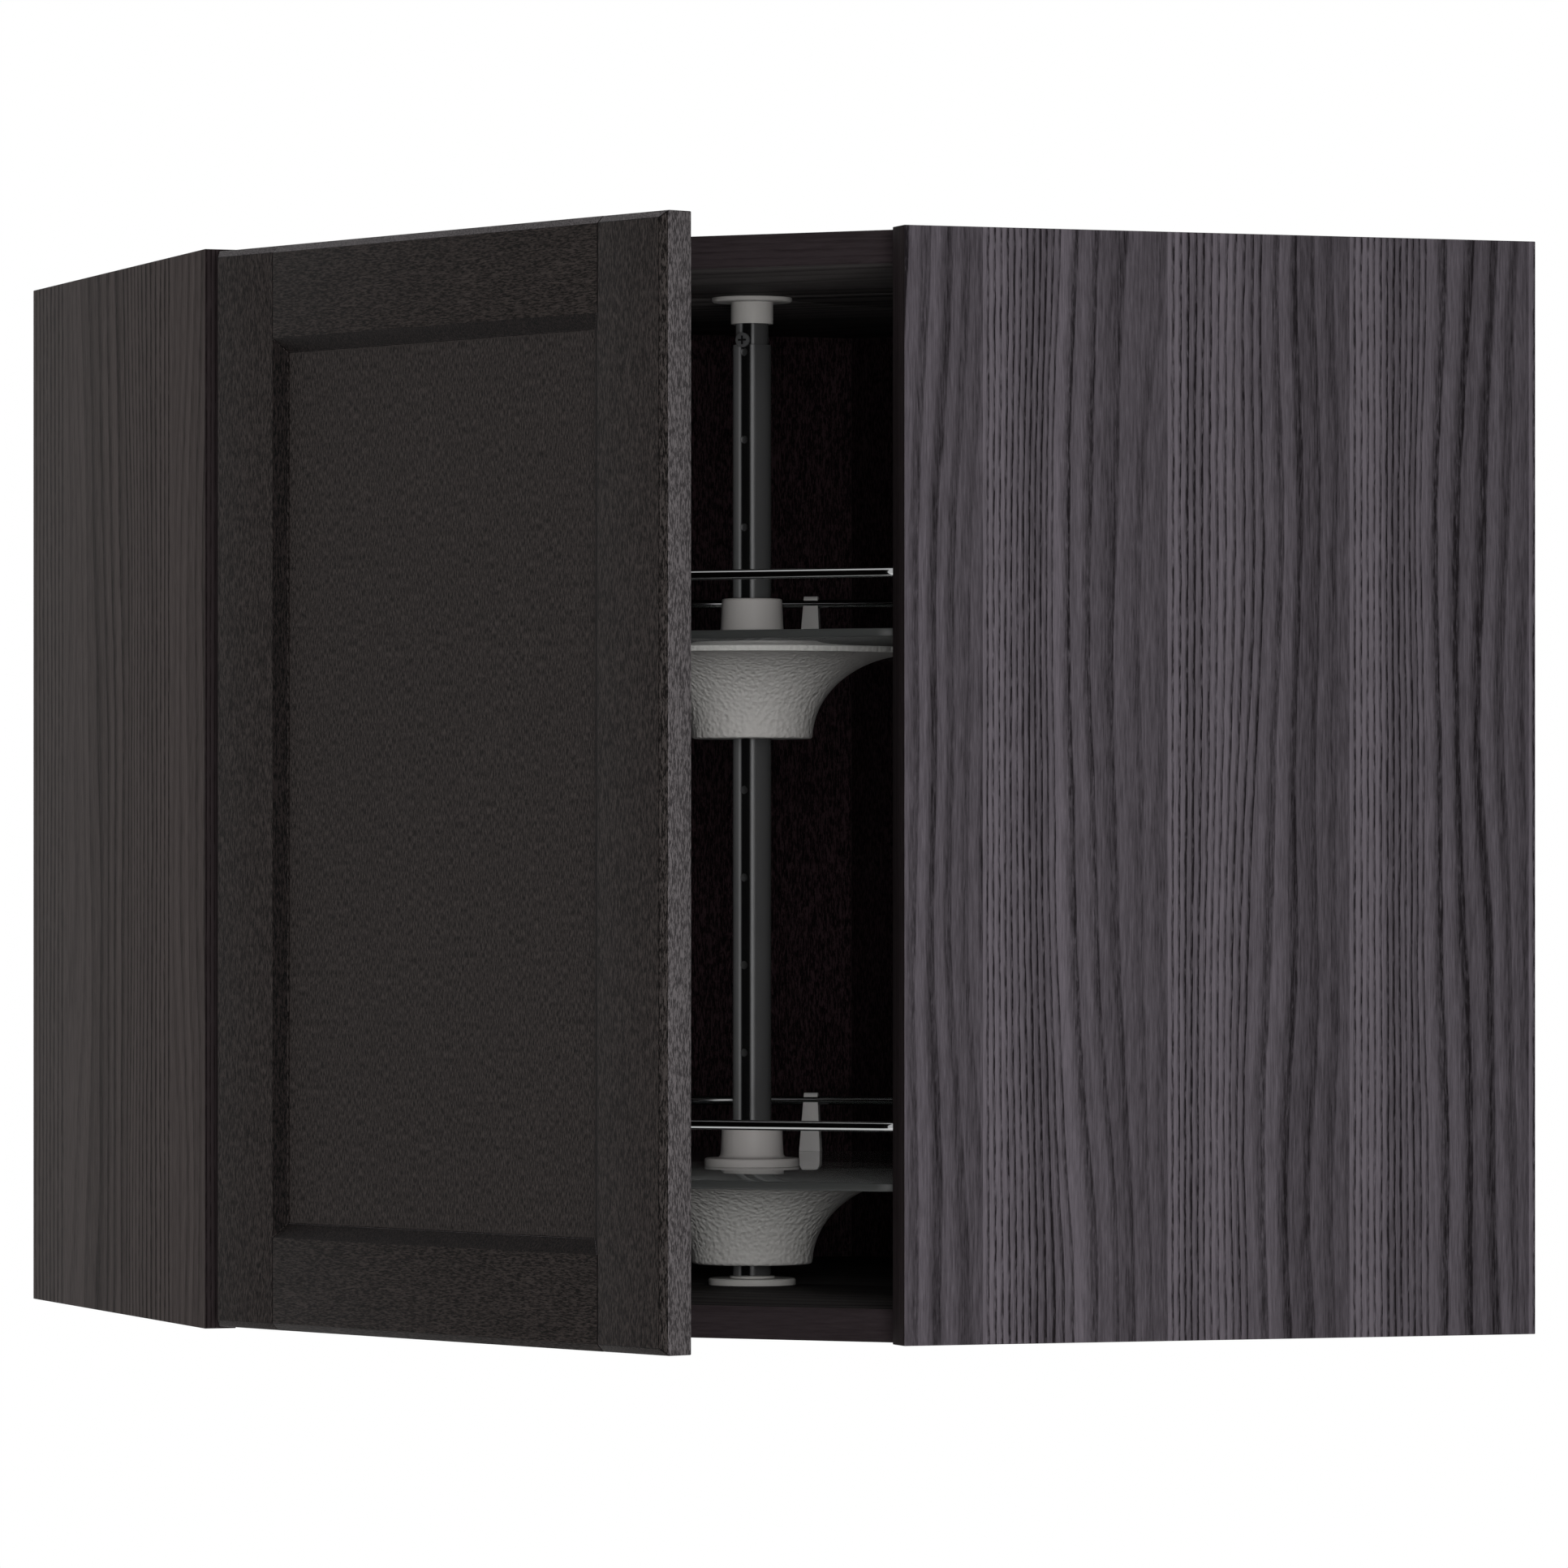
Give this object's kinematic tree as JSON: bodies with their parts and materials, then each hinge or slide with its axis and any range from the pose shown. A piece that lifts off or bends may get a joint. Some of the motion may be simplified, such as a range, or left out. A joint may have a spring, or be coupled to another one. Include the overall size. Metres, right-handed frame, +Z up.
{
  "type": "corner carousel cabinet",
  "caption": "Wall-hung corner cabinet with a framed diagonal door on linked cup hinges and a carousel of railed glass shelves that turn on a central post.",
  "frame": {"origin": "on the carousel axis at the underside of the bottom board", "axes": "+Z up; +X towards the wall on the right and +Y towards the wall on the left, which meet in the corner at (0.338, 0.338); the diagonal front faces -X-Y"},
  "size_m": [0.672, 0.7484, 0.6],
  "materials": {
    "cabinet_foil": "black-brown woodgrain foil on particleboard, satin",
    "back_foil": "black-brown foil on fibreboard, satin",
    "door_ash": "black-stained ash veneer, satin lacquer",
    "bumper": "soft translucent rubber",
    "zinc_steel": "zinc-plated or nickel-plated steel",
    "post_plastic": "moulded grey plastic",
    "post_steel": "dark polished steel tube",
    "shelf_glass": "clear tempered glass, ground edge",
    "bell_plastic": "grey plastic with a fine leather-like mould texture",
    "chrome": "chrome-plated wire",
    "clip_plastic": "moulded grey plastic, satin"
  },
  "bodies": {
    "cabinet": {"back_board_left": "back_foil", "back_board_right": "back_foil", "bottom_board": "cabinet_foil", "corner_board": "back_foil", "foot_screw_1": "zinc_steel", "foot_screw_2": "zinc_steel", "foot_screw_3": "zinc_steel", "hanging_bracket_left": "zinc_steel", "hanging_bracket_right": "zinc_steel", "head_screw_1": "zinc_steel", "head_screw_2": "zinc_steel", "head_screw_3": "zinc_steel", "hinge_lower_arm": "zinc_steel", "hinge_lower_plate": "zinc_steel", "hinge_upper_arm": "zinc_steel", "hinge_upper_plate": "zinc_steel", "lower_support_pin": "zinc_steel", "post_foot_flange": "post_plastic", "post_head_flange": "post_plastic", "post_inner_tube": "post_steel", "post_lock_screw": "zinc_steel", "post_outer_tube": "post_steel", "side_board_left": "cabinet_foil", "side_board_right": "cabinet_foil", "top_board": "cabinet_foil", "upper_support_pin": "zinc_steel"},
    "door": {"door_bumper_lower": "bumper", "door_bumper_upper": "bumper", "door_panel": "door_ash", "door_rail_bottom": "door_ash", "door_rail_top": "door_ash", "door_stile_left": "door_ash", "door_stile_right": "door_ash", "hinge_lower_cup": "zinc_steel", "hinge_upper_cup": "zinc_steel"},
    "swing_links": {"hinge_lower_swing_link": "zinc_steel", "hinge_upper_swing_link": "zinc_steel"},
    "cup_links": {"hinge_lower_cup_link": "zinc_steel", "hinge_upper_cup_link": "zinc_steel"},
    "lower_shelf": {"lower_rail_clip_left_front": "clip_plastic", "lower_rail_clip_left_middle": "clip_plastic", "lower_rail_clip_left_rear": "clip_plastic", "lower_rail_clip_right_front": "clip_plastic", "lower_rail_clip_right_middle": "clip_plastic", "lower_rail_clip_right_rear": "clip_plastic", "lower_shelf_bell": "bell_plastic", "lower_shelf_glass": "shelf_glass", "lower_shelf_hub": "clip_plastic", "lower_shelf_rail": "chrome"},
    "upper_shelf": {"upper_rail_clip_left_front": "clip_plastic", "upper_rail_clip_left_middle": "clip_plastic", "upper_rail_clip_left_rear": "clip_plastic", "upper_rail_clip_right_front": "clip_plastic", "upper_rail_clip_right_middle": "clip_plastic", "upper_rail_clip_right_rear": "clip_plastic", "upper_shelf_bell": "bell_plastic", "upper_shelf_glass": "shelf_glass", "upper_shelf_hub": "clip_plastic", "upper_shelf_rail": "chrome"}
  },
  "joints": [
    {"name": "door_swing", "type": "hinge", "parent": "cabinet", "child": "door", "pos_m": [-0.33021, -0.00492, 0.3], "axis": [0, 0, -1], "range_deg": [-25, 85]},
    {"name": "swing_link_turn", "type": "hinge", "parent": "cabinet", "child": "swing_links", "pos_m": [-0.28743, -0.02083, 0.3], "axis": [0, 0, -1], "range_deg": [-25, 85]},
    {"name": "cup_link_turn", "type": "hinge", "parent": "door", "child": "cup_links", "pos_m": [-0.30309, -0.04932, 0.3], "axis": [0, 0, -1], "range_deg": [-85, 25]},
    {"name": "lower_shelf_turn", "type": "hinge", "parent": "cabinet", "child": "lower_shelf", "pos_m": [0, 0, 0.0855], "axis": [0, 0, 1], "range_deg": [-360, 360]},
    {"name": "upper_shelf_turn", "type": "hinge", "parent": "cabinet", "child": "upper_shelf", "pos_m": [0, 0, 0.3855], "axis": [0, 0, 1], "range_deg": [-360, 360]}
  ],
  "couplings": [
    {"joint": "swing_link_turn", "follows": "door_swing", "ratio": 1},
    {"joint": "cup_link_turn", "follows": "door_swing", "ratio": -1}
  ]
}
